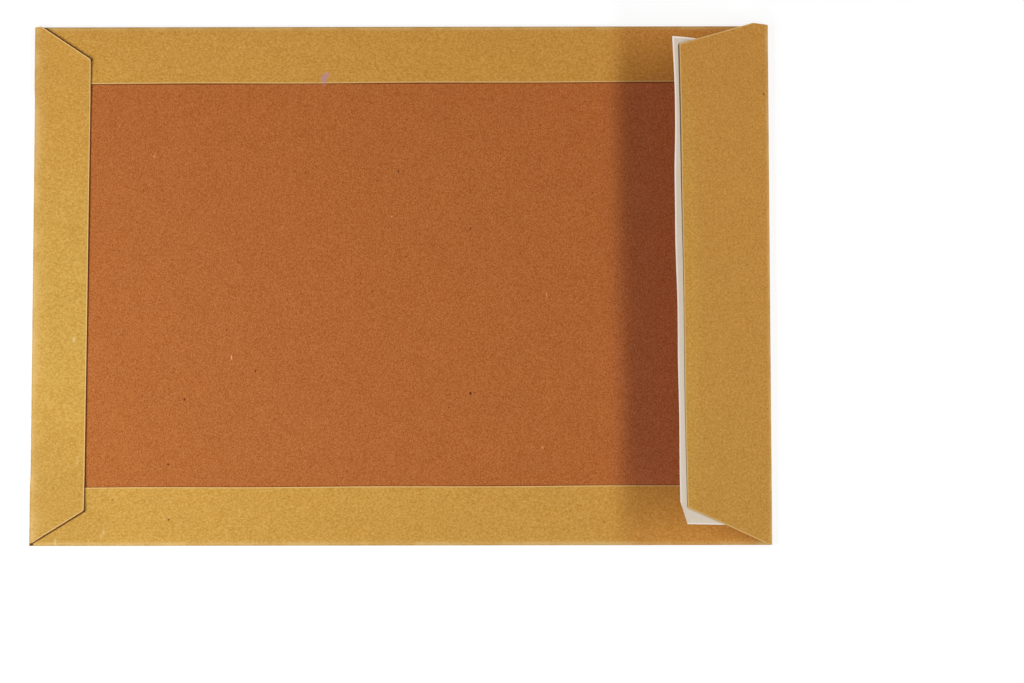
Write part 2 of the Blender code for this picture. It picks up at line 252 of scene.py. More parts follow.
class EnvelopeStage(bpy.types.PropertyGroup):
    """The lamps and the camera."""

    left_watts: single("Left lamp", "Power of the lamp on the closed end's side", 2.5, unit="POWER")
    right_watts: single("Right lamp", "Power of the lamp on the mouth's side", 11.8, unit="POWER")
    fill: single("Fill", "Strength of the light from all round", 0.1, min=0.0)
    lens: single("Lens", "Focal length of the camera in millimetres", 112.6, unit="NONE")


class Levels:
    """Heights of the layers' middles, and the lines where the front panel and the flaps end."""

    def __init__(self, sizes):
        self.front = sizes.paper / 2
        self.side = BOARD_HIGH.z + GLUE_SPACE + sizes.paper / 2
        self.end = self.side + sizes.paper + GLUE_SPACE
        self.side_radius = (self.side - self.front) / 2
        self.end_radius = (self.end - self.front) / 2
        self.panel_side = HALF_WIDTH - self.side_radius - sizes.paper / 2
        self.panel_end = -HALF_LENGTH + self.end_radius + sizes.paper / 2
        self.panel_mouth = HALF_LENGTH - FLAP_FOLD_RADIUS - sizes.paper / 2
        self.flap_end = HALF_WIDTH - FLAP_END_SHORT
        self.side_start = self.panel_end + CORNER_EAR + CORNER_SLIT
        self.side_stop = self.panel_mouth - CORNER_EAR - CORNER_SLIT


def close_ended(count):
    """Shares from 0 to 1, closer at both ends: u - END_CLOSENESS x sin(2 pi u) / (2 pi)."""
    u = np.linspace(0, 1, count)
    return u - END_CLOSENESS * np.sin(2 * np.pi * u) / (2 * np.pi)


def smooth_step(value, low, high):
    """0 below low, 1 above high, and 3 s^2 - 2 s^3 between them."""
    share = np.clip((value - low) / (high - low), 0, 1)
    return share * share * (3 - 2 * share)


def fading(distance, reach):
    """1 at no distance, falling as exp(-distance / reach)."""
    return np.exp(-np.maximum(distance, 0) / reach)


def waves(place, table, turn=1):
    """Sum of height x sin(place x radians per metre + phase x turn) over the waves of a table."""
    return sum(height * np.sin(place * rate + phase * turn) for height, rate, phase in table)


def across(start, stop, share):
    """Places at a share of the way from each start to its stop, as a grid of start by share."""
    return start[:, None] + (stop - start)[:, None] * share[None, :, None]


def round_corner(before, corner, after, radius, count):
    """An arc that rounds a corner in the plane, turned from its first spoke to its last."""
    back = (before - corner) / np.linalg.norm(before - corner)
    ahead = (after - corner) / np.linalg.norm(after - corner)
    half = math.acos(back @ ahead) / 2
    centre = corner + (back + ahead) / np.linalg.norm(back + ahead) * radius / math.sin(half)
    first = corner + back * radius / math.tan(half) - centre
    last = corner + ahead * radius / math.tan(half) - centre
    turn = math.pi - 2 * half
    angle = np.linspace(0, turn, count)[:, None]
    return centre + (first * np.sin(turn - angle) + last * np.sin(angle)) / math.sin(turn)


def slanted_end(start, tip, far_tip):
    """A flap's slanted end as points in the plane: a straight cut whose points are closer near the fold,
    at shares u ** SLANT_POWER, then an arc round the tip."""
    arc = round_corner(start, tip, far_tip, TIP_RADIUS, TIP_LINES)
    share = np.linspace(0, 1, SLANT_LINES, endpoint=False)[:, None] ** SLANT_POWER
    return np.concatenate([start + (arc[0] - start) * share, arc])


def lower_and_upper(reaches, distances):
    """A lower and an upper point in the plane, at their reaches and distances from the middle."""
    return [np.array([reach, side * distance])
            for reach, side, distance in zip(reaches, (-1, 1), distances)]


def away_from(places, start, stop):
    """Distance of each place in the plane from the straight line through start and stop."""
    along = (stop - start) / np.linalg.norm(stop - start)
    offset = places - start
    return np.abs(offset[..., 0] * along[1] - offset[..., 1] * along[0])


def away_from_cuts(places, starts, tips):
    """Distances of each place from a flap's free edge, its lower slanted cut and its upper one."""
    return [away_from(places, start, stop) for start, stop in (tips, *zip(starts, tips))]


def weld_grids(grids):
    """One surface from several grids, with a quad round each of their cells. Points that round to the
    same place become one."""
    points = np.concatenate([grid[0].reshape(-1, 3) for grid in grids])
    marks = np.concatenate([np.stack(grid[1:], axis=-1).reshape(-1, len(grid) - 1) for grid in grids])
    faces = []
    first = 0
    for grid in grids:
        rows, columns = grid[0].shape[:2]
        corner = first + (np.arange(rows - 1)[:, None] * columns + np.arange(columns - 1)).ravel()
        faces.append(np.stack([corner, corner + 1, corner + columns + 1, corner + columns], axis=1))
        first += rows * columns
    _, kept, index = np.unique(np.round(points / WELD).astype(np.int64), axis=0,
                               return_index=True, return_inverse=True)
    return points[kept], marks[kept], index.ravel()[np.concatenate(faces)]


def point_normals(points, faces):
    """The normal of each point: the sum of the cross products of its faces' diagonals, at length 1."""
    a, b, c, d = (points[faces[:, k]] for k in range(4))
    face_normals = np.cross(c - a, d - b)
    normals = np.zeros_like(points)
    for k in range(4):
        np.add.at(normals, faces[:, k], face_normals)
    return normals / np.linalg.norm(normals, axis=1, keepdims=True)


def thick_shell(points, faces, thickness):
    """A closed body round a sheet: half the thickness along each normal, half against it, and a rim of
    quads along every edge that only one face uses."""
    offset = point_normals(points, faces) * np.broadcast_to(thickness, len(points))[:, None] / 2
    edges = np.concatenate([faces[:, [k, (k + 1) % 4]] for k in range(4)])
    _, index, uses = np.unique(np.sort(edges, axis=1), axis=0, return_inverse=True, return_counts=True)
    rim = edges[uses[index.ravel()] == 1]
    count = len(points)
    walls = np.stack([rim[:, 1], rim[:, 0], rim[:, 0] + count, rim[:, 1] + count], axis=1)
    return np.concatenate([points + offset, points - offset]), np.concatenate(
        [faces, faces[:, ::-1] + count, walls])


def add_object(name, data):
    made = bpy.data.objects.new(name, data)
    bpy.context.scene.collection.objects.link(made)
    return made


def make_sheet(name, grids, thickness, labels, finish):
    """An object from grids that share their edges: one smooth closed body with sharp rims. Each grid has
    its points, then a value per point for each label. A label named "body" scales the thickness."""
    points, marks, faces = weld_grids(grids)
    if "body" in labels:
        thickness = thickness * marks[:, labels.index("body")]
    points, faces = thick_shell(points, faces, thickness)
    mesh = bpy.data.meshes.new(name)
    mesh.vertices.add(len(points))
    mesh.vertices.foreach_set("co", points.astype(np.float32).ravel())
    mesh.loops.add(faces.size)
    mesh.loops.foreach_set("vertex_index", faces.astype(np.int32).ravel())
    mesh.polygons.add(len(faces))
    mesh.polygons.foreach_set("loop_start", np.arange(0, faces.size, 4, dtype=np.int32))
    mesh.update(calc_edges=True)
    mesh.shade_smooth()
    mesh.set_sharp_from_angle(angle=math.radians(40))
    for column, label in enumerate(labels):
        if label != "body":
            layer = mesh.attributes.new(label, "FLOAT", "POINT")
            layer.data.foreach_set("value", np.tile(marks[:, column], 2).astype(np.float32))
    mesh.materials.append(finish)
    return add_object(name, mesh)


def flat_grid(levels, x_lines, y_lines):
    """A level grid of the front panel, far from a cut, with the crease of the nearest fold."""
    x, y = np.meshgrid(x_lines, y_lines, indexing="ij")
    distance = np.minimum(levels.panel_side - np.abs(y),
                          np.minimum(x - levels.panel_end, levels.panel_mouth - x))
    points = np.stack([x, y, np.full_like(x, levels.front)], axis=-1)
    return points, np.full(x.shape, FAR_FROM_CUT), fading(distance, CREASE_REACH)


def panel_y_lines(levels):
    return levels.panel_side * (2 * close_ended(WIDTH_LINES) - 1)


def flap_shares(levels):
    """Where the lines along an end flap or sealing flap lie, from its lower end at 0 to its upper at 1."""
    lines = np.concatenate([[-levels.flap_end], panel_y_lines(levels), [levels.flap_end]])
    return (lines + levels.flap_end) / (2 * levels.flap_end)


def front_panel(levels):
    """The front panel, level on the table, and the ear at each of its corners."""
    x_lines = levels.side_start + (levels.side_stop - levels.side_start) * close_ended(LENGTH_LINES)
    x_lines = np.concatenate([[levels.panel_end, levels.panel_end + CORNER_EAR], x_lines,
                              [levels.panel_mouth - CORNER_EAR, levels.panel_mouth]])
    grids = [flat_grid(levels, x_lines, panel_y_lines(levels))]
    for x in (levels.panel_end, levels.panel_mouth - CORNER_EAR):
        for low, high in ((-levels.flap_end, -levels.panel_side), (levels.panel_side, levels.flap_end)):
            grids.append(flat_grid(levels, [x, x + CORNER_EAR], [low, high]))
    return grids


def side_flap(levels, side, depths):
    """A side flap: half an ellipse round the fold, then level over the board. The paper sags beside the
    fold by FOLD_SAG, and its free edge stands up by SIDE_EDGE_LIFT, both fading as an exponential. The
    edge wanders by a sine along x times (way in)^4, and the sheet waves by two sines times (way in)^2."""
    turn = np.linspace(0, np.pi, FOLD_LINES)
    way = close_ended(FLAT_LINES)[1:]
    fold_out = levels.panel_side + levels.side_radius * np.sin(turn)
    fold_up = levels.front + (levels.side_radius - FOLD_SAG / 2) * (1 - np.cos(turn))
    ends = []
    for start, taper, depth in ((levels.side_start, SIDE_END_TAPER, depths[0]),
                                (levels.side_stop, -SIDE_MOUTH_TAPER, depths[1])):
        x = np.concatenate([np.full(FOLD_LINES, start), start + taper * way])
        inward = levels.panel_side + (HALF_WIDTH - depth - levels.panel_side) * way
        sag = FOLD_SAG * fading(levels.panel_side - inward, SAG_REACH)
        out = np.concatenate([fold_out, inward])
        up = np.concatenate([fold_up, levels.side - sag])
        ends.append(np.stack([x, side * out, up], axis=-1))
    points = across(ends[0], ends[1], close_ended(LENGTH_LINES))
    way_in = np.concatenate([np.zeros(FOLD_LINES), way])[:, None]
    x = points[..., 0]
    points[..., 1] += side * way_in ** 4 * waves(x, SIDE_WANDER, side)
    points[..., 2] += way_in ** 2 * waves(x, SIDE_WAVES, side)
    from_edge = np.abs(points[..., 1]) - np.abs(points[-1:, :, 1])
    points[..., 2] += SIDE_EDGE_LIFT * np.exp(-from_edge / SIDE_EDGE_REACH) * (way_in > 0)
    cut = np.minimum(np.abs(from_edge) + FAR_FROM_CUT * (way_in == 0),
                     np.minimum(x - ends[0][:, :1], ends[1][:, :1] - x))
    crease = fading(levels.panel_side - np.abs(points[..., 1]), CREASE_REACH)
    grid = [np.swapaxes(part, 0, 1) for part in (points, np.clip(cut, 0, FAR_FROM_CUT), crease)]
    return [part if side > 0 else part[:, ::-1] for part in grid]


def end_flap_level(levels, sizes, y):
    """Height of the end flap: on the side flaps near its ends, one layer lower on the board between."""
    depth = np.where(y > 0, sizes.upper_side[0], sizes.lower_side[0])
    outer = HALF_WIDTH - depth - END_STEP_INSET
    return levels.side + (levels.end - levels.side) * smooth_step(np.abs(y), outer - END_STEP_LENGTH, outer)


def end_flap_corners(levels, sizes):
    """Where each slanted cut of the end flap starts, and its tip, in the plane: lower first."""
    starts = lower_and_upper(levels.panel_end + np.array(sizes.end_shoulder),
                             levels.flap_end - np.array(sizes.end_slip))
    tips = lower_and_upper(np.array(sizes.end_depth) - HALF_LENGTH,
                           HALF_WIDTH - np.array(sizes.end_tip_inset))
    return starts, tips


def side_flap_edge(levels, side, depths):
    """The two ends of a side flap's free edge, in the plane."""
    return (np.array([levels.side_start + SIDE_END_TAPER, side * (HALF_WIDTH - depths[0])]),
            np.array([levels.side_stop - SIDE_MOUTH_TAPER, side * (HALF_WIDTH - depths[1])]))


def end_flap(levels, sizes):
    """The end flap: half an ellipse round the fold, then flat on what lies under it, with the same sag
    as a side flap. Past the outermost line of the fold each end moves in by END_SLIP_SHARE of its slip.
    The slanted cuts stand up by their lift and the free edge by END_EDGE_LIFT and its waves, each fading
    as an exponential of the distance from it, and fading out at the fold."""
    share = flap_shares(levels)
    turn = np.linspace(0, np.pi, FOLD_LINES)[:, None]
    moved = END_SLIP_SHARE * np.maximum(2 * turn / np.pi - 1, 0)
    lower_y, upper_y = (side * (levels.flap_end - slip * moved)
                        for side, slip in zip((-1, 1), sizes.end_slip))
    y = lower_y + (upper_y - lower_y) * share
    layers = end_flap_level(levels, sizes, y)
    fold = np.stack(np.broadcast_arrays(
        levels.panel_end - (layers - levels.front) / 2 * np.sin(turn), y,
        levels.front + (layers - FOLD_SAG - levels.front) / 2 * (1 - np.cos(turn))), axis=-1)
    starts, tips = end_flap_corners(levels, sizes)
    lower = slanted_end(starts[0], tips[0], tips[1])
    upper = slanted_end(starts[1], tips[1], tips[0])
    flat = across(lower, upper, share)
    from_fold = flat[..., 0] - levels.panel_end
    height = end_flap_level(levels, sizes, flat[..., 1]) - FOLD_SAG * fading(from_fold, SAG_REACH)
    free = smooth_step(from_fold, 0, LIFT_START)
    distances = away_from_cuts(flat, starts, tips)
    lifts = (END_EDGE_LIFT + waves(flat[..., 1], END_EDGE_WAVES), *sizes.end_lift)
    reaches = (END_EDGE_REACH, END_CUT_REACH, END_CUT_REACH)
    for distance, lift, reach in zip(distances, lifts, reaches):
        height = height + lift * fading(distance, reach) * free
    points = np.concatenate([fold, np.concatenate([flat, height[..., None]], axis=-1)])
    cut = np.minimum(np.minimum.reduce(distances), FAR_FROM_CUT)
    cut = np.concatenate([np.full(fold.shape[:2], FAR_FROM_CUT), cut])
    crease = fading(points[..., 0] - levels.panel_end, END_CREASE_REACH)
    return points[::-1], cut[::-1], crease[::-1]


class FlapForm:
    """The raised sealing flap. Its profile is an arc round the fold, then a curve whose rise changes in
    step with reach: rise = rise at fold + curvature x reach past the bend."""

    def __init__(self, sizes):
        self.levels = Levels(sizes)
        self.sizes = sizes
        self.fold_rise, self.edge_rise = sizes.flap_rise
        self.bend = FLAP_FOLD_RADIUS * (math.pi / 2 - self.fold_rise)
        self.curvature = (self.edge_rise - self.fold_rise) / (sizes.flap_depth[1] - self.bend)
        self.tips = lower_and_upper(sizes.flap_depth, HALF_WIDTH - np.array(sizes.flap_tip_inset))
        self.starts = lower_and_upper(self.bend + np.array(sizes.flap_shoulder),
                                      self.levels.flap_end + np.array(sizes.flap_stand_out))

    def edge_reach(self, y):
        """Reach of the free edge at y: a straight line through both tips."""
        share = (y - self.tips[0][1]) / (self.tips[1][1] - self.tips[0][1])
        return self.sizes.flap_depth[0] + (self.sizes.flap_depth[1] - self.sizes.flap_depth[0]) * share

    def place(self, reach, y, drop=0.0):
        """Points at a reach and y, moved by drop towards the board along the flap's normal. The waves
        are sines along y that grow with the square of reach. The flap's ends stand above its middle by
        bow x (y / half width)^2 x (reach past the bend / depth)^2."""
        turn = np.pi / 2 + np.minimum(reach, self.bend) / FLAP_FOLD_RADIUS
        past = np.maximum(reach - self.bend, 0)
        rise = self.fold_rise + self.curvature * past
        depth = self.sizes.flap_depth[1]
        wave = self.sizes.flap_wave * waves(y, FLAP_WAVES) * np.clip(reach / depth, 0, 2) ** 2
        lift = (wave - drop) * (past > 0)
        x = (self.levels.panel_mouth + FLAP_FOLD_RADIUS * np.sin(turn) + lift * np.sin(rise)
             - (np.sin(rise) - math.sin(self.fold_rise)) / self.curvature)
        z = (self.levels.front + FLAP_FOLD_RADIUS * (1 - np.cos(turn)) + lift * np.cos(rise)
             - (np.cos(rise) - math.cos(self.fold_rise)) / self.curvature
             + self.sizes.flap_bow * (y / HALF_WIDTH) ** 2 * (past / depth) ** 2)
        return np.stack(np.broadcast_arrays(x, y, z), axis=-1)

    def strip(self, low_end, high_end):
        """A strip's places on the flap. Each end is a list of (distance back from the free edge, y)."""
        ends = [np.stack([self.edge_reach(end[:, 1]) - end[:, 0], end[:, 1]], axis=-1)
                for end in (low_end, high_end)]
        return across(ends[0], ends[1], close_ended(WIDTH_LINES))


def sealing_flap(levels, sizes):
    """The sealing flap: the flap's form over a grid that ends at its slanted cuts and free edge. Its
    shoulders stand out from the fold's ends by a smooth step of reach."""
    form = FlapForm(sizes)
    panel_reach = -FLAP_FOLD_RADIUS * math.pi / 2
    fold_reach = np.linspace(panel_reach, form.bend, FLAP_FOLD_LINES, endpoint=False)
    ends = []
    for k, side in enumerate((-1, 1)):
        stand_out = sizes.flap_stand_out[k] * smooth_step(fold_reach, panel_reach, form.bend)
        straight = np.stack([fold_reach, side * (levels.flap_end + stand_out)], axis=-1)
        shoulder_reach = np.linspace(form.bend, form.starts[k][0], SHOULDER_LINES, endpoint=False)
        shoulder = np.stack([shoulder_reach, np.full(SHOULDER_LINES, form.starts[k][1])], axis=-1)
        cut_end = slanted_end(form.starts[k], form.tips[k], form.tips[1 - k])
        ends.append(np.concatenate([straight, shoulder, cut_end]))
    flat = across(ends[0], ends[1], flap_shares(levels))
    cut = np.minimum.reduce(away_from_cuts(flat, form.starts, form.tips))
    cut = np.where(flat[..., 0] < form.bend, FAR_FROM_CUT, np.minimum(cut, FAR_FROM_CUT))
    return form.place(flat[..., 0], flat[..., 1]), cut, fading(flat[..., 0] - form.bend, CREASE_REACH)


def release_liner(form, sizes, drop):
    """The liner: a strip from its inner edge to its overhang, with the lower outer corner cut off. Its
    lines across are closer towards the outer edge, at shares 1 - (1 - u) ** EDGE_POWER. That edge
    wanders by two sines along y, and is a little shorter at the upper end, in step with the cube of the
    way out. Past the adhesive the liner curls away by curl x (way past) ** CURL_POWER."""
    low_y = form.tips[0][1] - sizes.liner_past_tip[0]
    high_y = form.tips[1][1] + sizes.liner_past_tip[1]
    inner = sizes.liner_width - sizes.liner_overhang
    outer = -sizes.liner_overhang
    share = 1 - (1 - np.linspace(0, 1, FLAT_LINES)) ** EDGE_POWER
    whole = inner + (outer + sizes.liner_cut[0] - inner) * share
    slant = np.linspace(low_y, low_y + sizes.liner_cut[1], TIP_LINES)[1:]
    back = np.concatenate([whole, np.linspace(whole[-1], outer, TIP_LINES)[1:]])
    low_end = np.stack([back, np.concatenate([np.full(len(whole), low_y), slant])], axis=-1)
    high_end = np.stack([back, np.full(len(back), high_y)], axis=-1)
    flat = form.strip(low_end, high_end)
    out = np.clip(1 - (back[:, None] - outer) / inner, 0, 1) ** 3
    y = flat[..., 1]
    wander = waves(y, LINER_WANDER) - LINER_SHORTER * smooth_step(y, *LINER_SHORTER_Y)
    reach = flat[..., 0] + out * wander
    loose = np.clip(reach - form.edge_reach(y) + ADHESIVE_SETBACK, 0, None)
    loose = loose / (sizes.liner_overhang + ADHESIVE_SETBACK)
    curl = LINER_CURL[0] + (LINER_CURL[1] - LINER_CURL[0]) * smooth_step(y, *LINER_CURL_Y)
    cut = np.minimum(np.abs(back[:, None] - outer), np.minimum(y - low_y, high_y - y))
    return form.place(reach, y, drop + curl * loose ** CURL_POWER), np.clip(cut, 0, FAR_FROM_CUT)


def adhesive_band(form, sizes, drop):
    """The adhesive: a band whose long edges wander by sines along y, and whose body thins to its rim by
    (1 - |2 s - 1| ** ADHESIVE_RIM_POWER) ** 0.5 over its width."""
    share = close_ended(ADHESIVE_LINES)
    back = ADHESIVE_SETBACK + sizes.adhesive_width * (1 - share)
    ends = [np.stack([back, np.full(len(back), form.tips[k][1] - side * ADHESIVE_END_INSET)], axis=-1)
            for k, side in enumerate((-1, 1))]
    flat = form.strip(ends[0], ends[1])
    share = share[:, None]
    y = flat[..., 1]
    reach = flat[..., 0] + (share - 0.5) * waves(y, ADHESIVE_WANDER)
    body = np.sqrt(np.clip(1 - np.abs(2 * share - 1) ** ADHESIVE_RIM_POWER, ADHESIVE_THINNEST, 1))
    return form.place(reach, y, drop), body * np.ones_like(y)


def add_node(tree, kind, inputs=None, **settings):
    """A shader node with its settings. An input is given a value, or a socket to read from."""
    made = tree.nodes.new(kind)
    for name, value in settings.items():
        setattr(made, name, value)
    for name, value in (inputs or {}).items():
        if isinstance(value, bpy.types.NodeSocket):
            tree.links.new(value, made.inputs[name])
        else:
            made.inputs[name].default_value = value
    return made


def reading(kind, inputs, **settings):
    """The results of a new node in the tree of the first socket that it reads."""
    tree = next(value.id_data for value in inputs.values() if isinstance(value, bpy.types.NodeSocket))
    return add_node(tree, kind, inputs, **settings).outputs


def combine(kind, first, second):
    return reading("ShaderNodeMath", {0: first, 1: second}, operation=kind)["Value"]


def product(first, *others):
    for other in others:
        first = combine("MULTIPLY", first, other)
    return first


def vector(kind, *values, output="Vector"):
    return reading("ShaderNodeVectorMath", dict(enumerate(values)), operation=kind)[output]


def stretched(value, scale):
    """The vector times a single value."""
    return reading("ShaderNodeVectorMath", {0: value, "Scale": scale}, operation="SCALE")["Vector"]


def ramp(value, span, result=(0.0, 1.0), smooth=True):
    """The value carried from its span to the result's, held at both ends."""
    return reading("ShaderNodeMapRange", {
        "Value": value, "From Min": span[0], "From Max": span[1], "To Min": result[0],
        "To Max": result[1]}, interpolation_type="SMOOTHSTEP" if smooth else "LINEAR")["Result"]


def noise(place, scale, detail, roughness=0.5):
    return reading("ShaderNodeTexNoise", {
        "Vector": place, "Scale": scale, "Detail": detail, "Roughness": roughness})


def mix_colour(share, first, second):
    return reading("ShaderNodeMix", {0: share, 6: first, 7: second}, data_type="RGBA")[2]


def make_group(name, inputs, build):
    """A node group whose results, all single values, come from the function that builds it out of the
    sockets it is given. An input whose default is a number is a single value too, and any other is a
    vector."""
    tree = bpy.data.node_groups.new(name, "ShaderNodeTree")
    for label, default in {"Vector": (0, 0, 0), **inputs}.items():
        kind = "NodeSocketFloat" if isinstance(default, float) else "NodeSocketVector"
        tree.interface.new_socket(label, in_out="INPUT", socket_type=kind).default_value = default
    results = build(tree.nodes.new("NodeGroupInput").outputs)
    for label in results:
        tree.interface.new_socket(label, in_out="OUTPUT", socket_type="NodeSocketFloat")
    add_node(tree, "NodeGroupOutput", results)
    return tree


def fibre_results(given):
    """Fibre of paper and board: a fine mottle, soft clouds, dark flecks in the cells whose chance is
    high, pale short fibres along three directions, and the height that goes with them."""
    place = given["Vector"]
    grain = noise(vector("MULTIPLY", place, given["Grain per metre"]),
                  scale=1.0, detail=2.5, roughness=0.8)["Fac"]
    clouds = noise(place, given["Clouds per metre"], detail=2.0)
    cells = reading("ShaderNodeTexVoronoi", {
        "Vector": place, "Scale": given["Flecks per metre"], "Randomness": 1.0})
    chance = reading("ShaderNodeSeparateColor", {"Color": cells["Color"]})[0]
    size = ramp(chance, span=(0.65, 1.0), result=(0.0, 0.18), smooth=False)
    fleck = ramp(combine("SUBTRACT", size, cells["Distance"]), span=(0.0, 0.05))
    bent = vector("ADD", place, stretched(clouds["Color"], FIBRE_BEND))
    fibre = 0.0
    for turn in (0.35, 1.25, 2.4):
        along = reading("ShaderNodeMapping", {
            "Vector": bent, "Scale": (0.45, 2.2, 1.0), "Rotation": (0, 0, turn)})["Vector"]
        streak = noise(along, given["Fibres per metre"], detail=1.0)["Fac"]
        fibre = combine("MAXIMUM", fibre, ramp(streak, span=(0.68, 0.8)))
    return {"Mottle": grain, "Cloud": clouds["Fac"], "Fleck": fleck, "Fibre": fibre,
            "Height": combine("ADD", grain, fibre)}


def spot_results(given):
    """A soft oval mark: 1 at its place, falling to 0 at its radii, from the length of the offset over
    the radii."""
    offset = vector("SUBTRACT", given["Vector"], given["Place"])
    length = vector("LENGTH", vector("DIVIDE", offset, given["Radii"]), output="Value")
    return {"Mask": ramp(length, SOFT_RIM, (1.0, 0.0))}


def edge_results(given):
    """A soft line in the plane: 1 on the straight line from start to stop, falling to 0 at its half
    width. The nearest place on it is start + (stop - start) x clamp(offset . (stop - start) / length^2)."""
    offset = vector("SUBTRACT", given["Vector"], given["Start"])
    flat = vector("MULTIPLY", offset, (1, 1, 0))
    axis = vector("SUBTRACT", given["Stop"], given["Start"])
    along = vector("DOT_PRODUCT", flat, axis, output="Value")
    square = vector("DOT_PRODUCT", axis, axis, output="Value")
    share = reading("ShaderNodeMath", {0: along, 1: square}, operation="DIVIDE", use_clamp=True)
    nearest = stretched(axis, share["Value"])
    gap = vector("DISTANCE", flat, nearest, output="Value")
    return {"Mask": ramp(combine("DIVIDE", gap, given["Half width"]), SOFT_RIM, (1.0, 0.0))}


# The inputs of each shared group apart from its vector, and the function that builds it.
GROUPS = {
    "fibre_formation": ({"Grain per metre": (1000, 1250, 1100), "Clouds per metre": 110.0,
                         "Flecks per metre": 350.0, "Fibres per metre": 900.0}, fibre_results),
    "spot": ({"Place": (0, 0, 0), "Radii": (MM, MM, MM)}, spot_results),
    "edge_line": ({"Start": (0, 0, 0), "Stop": (1, 0, 0), "Half width": MM}, edge_results)}


class Finish:
    """A material whose base colour, its tone, is built up in steps over the fibre of its sheet."""

    def __init__(self, name, roughness, specular, per_metre):
        self.material = bpy.data.materials.new(name)
        self.material.use_nodes = True
        self.tree = self.material.node_tree
        self.shader = self.tree.nodes["Principled BSDF"].inputs
        self.shader["Roughness"].default_value = roughness
        self.shader["Specular IOR Level"].default_value = specular
        self.place = add_node(self.tree, "ShaderNodeTexCoord").outputs["Object"]
        self.parts = reading("ShaderNodeSeparateXYZ", {"Vector": self.place})
        self.fibre = self.group("fibre_formation", per_metre)

    def group(self, name, inputs):
        """The results of a shared node group, which is made the first time that it is asked for."""
        shared = bpy.data.node_groups.get(name) or make_group(name, *GROUPS[name])
        return reading("ShaderNodeGroup", {"Vector": self.place, **inputs}, node_tree=shared)

    def attribute(self, name):
        return add_node(self.tree, "ShaderNodeAttribute", attribute_name=name).outputs["Fac"]

    def start(self, colour, swing, cloud_depth):
        """Starts from the colour, moved up and down along the swing by the mottle, then scaled by the
        clouds."""
        mottle = ramp(self.fibre["Mottle"], span=(0.25, 0.75), result=(-1.0, 1.0), smooth=False)
        cloud = ramp(self.fibre["Cloud"], span=(0.3, 0.7),
                     result=(1 - cloud_depth, 1 + cloud_depth), smooth=False)
        moved = vector("MULTIPLY_ADD", swing, mottle, tuple(colour))
        self.tone = stretched(moved, cloud)

    def drift(self, slope):
        """Painted light: makes the tone yellower where the place's dot product with the slope is positive,
        and redder where it is negative, as stronger and weaker light show it: it is scaled by 1 +
        DRIFT_SCALES x dot."""
        dot = vector("DOT_PRODUCT", self.place, slope, output="Value")
        scales = vector("MULTIPLY_ADD", DRIFT_SCALES, dot, (1, 1, 1))
        self.tone = vector("MULTIPLY", self.tone, scales)

    def scale(self, share, scales):
        """Carries the tone by the share towards itself times the scales."""
        full = vector("MULTIPLY", self.tone, scales)
        self.tone = mix_colour(share, self.tone, full)

    def lay(self, colour, *shares):
        """Lays a colour over the tone, by the product of the shares."""
        self.tone = mix_colour(product(*shares), self.tone, (*colour, 1))

    def shade(self, scales):
        """Paints the colour of shade: scales the tone of the layers that the sealing flap's shade falls on.
        """
        towards_mouth = ramp(self.parts["X"], span=(0.088, 0.106))
        short_of_fold = ramp(self.parts["X"], span=(0.151, 0.158), result=(1.0, 0.0))
        under_flap = ramp(self.parts["Z"], span=(3 * MM, 5 * MM), result=(1.0, 0.0))
        self.scale(product(towards_mouth, short_of_fold, under_flap), scales)

    def spot(self, place, radii):
        return self.group("spot", {"Place": place, "Radii": radii})["Mask"]

    def patch(self, place, radii, scales):
        self.scale(self.spot(place, radii), scales)

    def speckle(self, fleck, fleck_share, fibre, fibre_share):
        self.lay(fleck, self.fibre["Fleck"], fleck_share)
        self.lay(fibre, self.fibre["Fibre"], fibre_share)

    def near_cut(self, span, share):
        """The share at a cut, fading to 0 over a span of the distance from it."""
        return ramp(self.attribute("cut"), span, (share, 0.0))

    def paint_edge_shade(self, lines, half_widths, shares, low, high):
        """Painted shade: darkens the tone along lines, each a start and a stop in the plane, between two
        heights.
        """
        level = product(ramp(self.parts["Z"], (low - EDGE_SHADE_FADE, low)),
                        ramp(self.parts["Z"], (high, high + EDGE_SHADE_FADE), (1.0, 0.0)))
        for (start, stop), half_width, share in zip(lines, half_widths, shares):
            line = self.group("edge_line", {"Start": (*start, 0), "Stop": (*stop, 0),
                                            "Half width": half_width})
            self.lay(EDGE_SHADE, line["Mask"], share, level)

    def mark(self, marks, height, depth):
        for x, y, along_x, along_y, colour, share in marks:
            spot = self.spot((x * MM, y * MM, height), (along_x * MM, along_y * MM, depth))
            self.lay(colour, spot, share)

    def done(self, height, strength, distance):
        """Joins the tone and the bump of a fibre's height to the shader, and gives the material."""
        bump = reading("ShaderNodeBump", {
            "Height": self.fibre[height], "Strength": strength, "Distance": distance})
        self.tree.links.new(self.tone, self.shader["Base Color"])
        self.tree.links.new(bump["Normal"], self.shader["Normal"])
        return self.material


